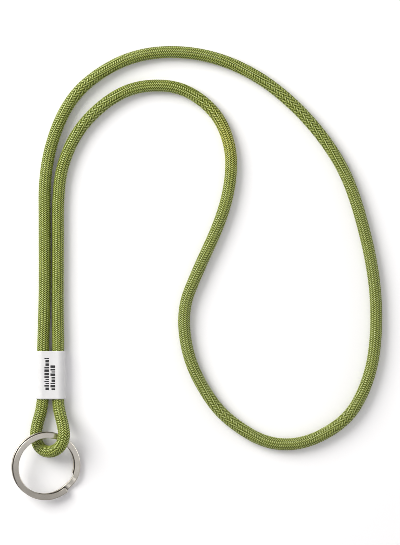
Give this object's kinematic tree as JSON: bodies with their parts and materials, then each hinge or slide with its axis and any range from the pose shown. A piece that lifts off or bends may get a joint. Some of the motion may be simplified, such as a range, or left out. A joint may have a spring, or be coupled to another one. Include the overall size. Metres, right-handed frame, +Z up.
{
  "type": "neck lanyard",
  "caption": "Round braided neck lanyard laid in a folded loop, with a flat-oval shrink sleeve and a flat-wire split ring that turns in the short cord loop and springs open.",
  "frame": {"origin": "bottom centre of the box round the sleeve and the ring at rest, on the surface that the lanyard lies on", "axes": "+Y from the ring through the sleeve towards the neck loop, +X to the side the neck loop folds towards, +Z up from the surface"},
  "size_m": [0.161, 0.1974, 0.0125],
  "materials": {
    "cord_braid": "two-over-two braided polyester, olive green, soft sheen",
    "core_yarn": "olive filler yarns",
    "melted_cord": "hot-cut, melted and set",
    "sleeve_plastic": "white satin shrink tube",
    "hot_melt": "set hot-melt adhesive",
    "nickel_plate": "bright nickel plate on spring steel"
  },
  "bodies": {
    "lanyard": {"cord_sheath": "cord_braid", "cord_core": "core_yarn", "sealed_end_lower": "melted_cord", "sealed_end_upper": "melted_cord", "shrink_sleeve": "sleeve_plastic", "sleeve_adhesive": "hot_melt"},
    "split_ring": {"ring_coil": "nickel_plate"},
    "ring_end": {"ring_tongue": "nickel_plate"}
  },
  "joints": [
    {"name": "ring_turn", "type": "hinge", "parent": "lanyard", "child": "split_ring", "pos_m": [0, -0.01745, 0.0053], "axis": [0.2556, -0.1033, 0.9613], "continuous": true},
    {"name": "ring_open", "type": "hinge", "parent": "split_ring", "child": "ring_end", "pos_m": [-0.00957, -0.02863, 0.00668], "axis": [0.7094, -0.6555, -0.259], "range_deg": [0, 7], "stiffness_Nm_per_rad": 1}
  ]
}
